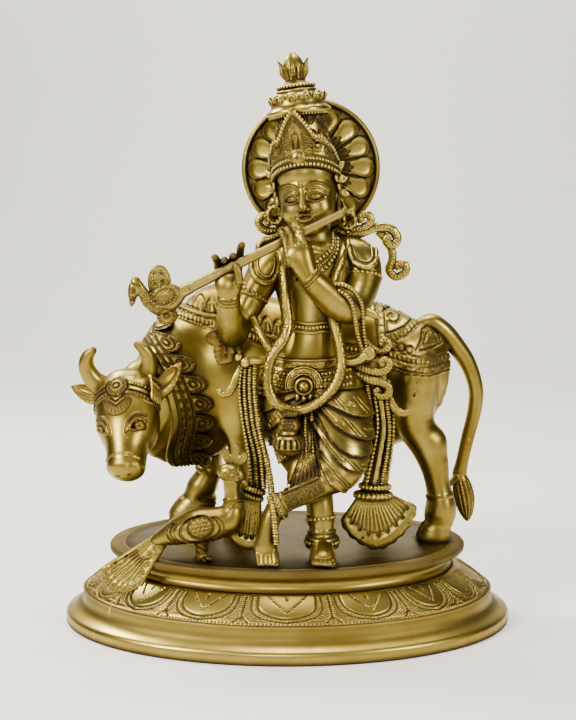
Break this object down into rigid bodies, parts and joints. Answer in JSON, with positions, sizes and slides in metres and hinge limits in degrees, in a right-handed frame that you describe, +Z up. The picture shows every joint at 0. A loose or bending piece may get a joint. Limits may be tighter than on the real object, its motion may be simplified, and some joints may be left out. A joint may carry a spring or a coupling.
{
  "type": "deity statue",
  "caption": "Cast brass group on an oval pedestal: a crowned, haloed figure playing a flute with crossed legs before a decorated cow, with a peacock at its feet.",
  "frame": {"origin": "centre of the pedestal's underside, on the surface it stands on", "axes": "+Z up through the crown's finial; +X along the cow, from its head towards its tail; -Y is the front, the way the standing figure faces"},
  "size_m": [0.254, 0.1726, 0.3171],
  "materials": {
    "cast_brass": "satin cast brass with dark patina in the chased lines",
    "base_brass": "satin turned and filed brass, worn bright on the edges",
    "flute_brass": "polished brass",
    "fastener_brass": "plain turned brass",
    "washer_steel": "plain"
  },
  "bodies": {
    "group": {"pedestal": "base_brass", "deck": "base_brass", "studs": "fastener_brass", "washers": "washer_steel", "nuts": "fastener_brass", "cow_body": "cast_brass", "cow_head": "cast_brass", "cow_horn_left": "cast_brass", "cow_horn_right": "cast_brass", "cow_tail": "cast_brass", "figure_body": "cast_brass", "figure_head": "cast_brass", "arm_left": "cast_brass", "arm_right": "cast_brass", "crown": "cast_brass", "crown_canopy": "cast_brass", "crown_finial": "cast_brass", "halo": "cast_brass", "halo_screw": "fastener_brass", "halo_nut": "fastener_brass", "earrings": "cast_brass", "hair_curls": "cast_brass", "garland": "cast_brass", "garland_pendant": "cast_brass", "belt": "cast_brass", "sash_left": "cast_brass", "sash_right": "cast_brass", "stole_left": "cast_brass", "stole_right": "cast_brass", "peacock_body": "cast_brass", "peacock_tail": "cast_brass", "peacock_crest": "cast_brass"},
    "flute": {"flute": "flute_brass", "flute_bird": "flute_brass"}
  },
  "joints": [
    {"name": "flute_slide", "type": "slide", "parent": "group", "child": "flute", "axis": [-0.8887, -0.1616, -0.4292], "range_m": [0, 0.085]}
  ]
}
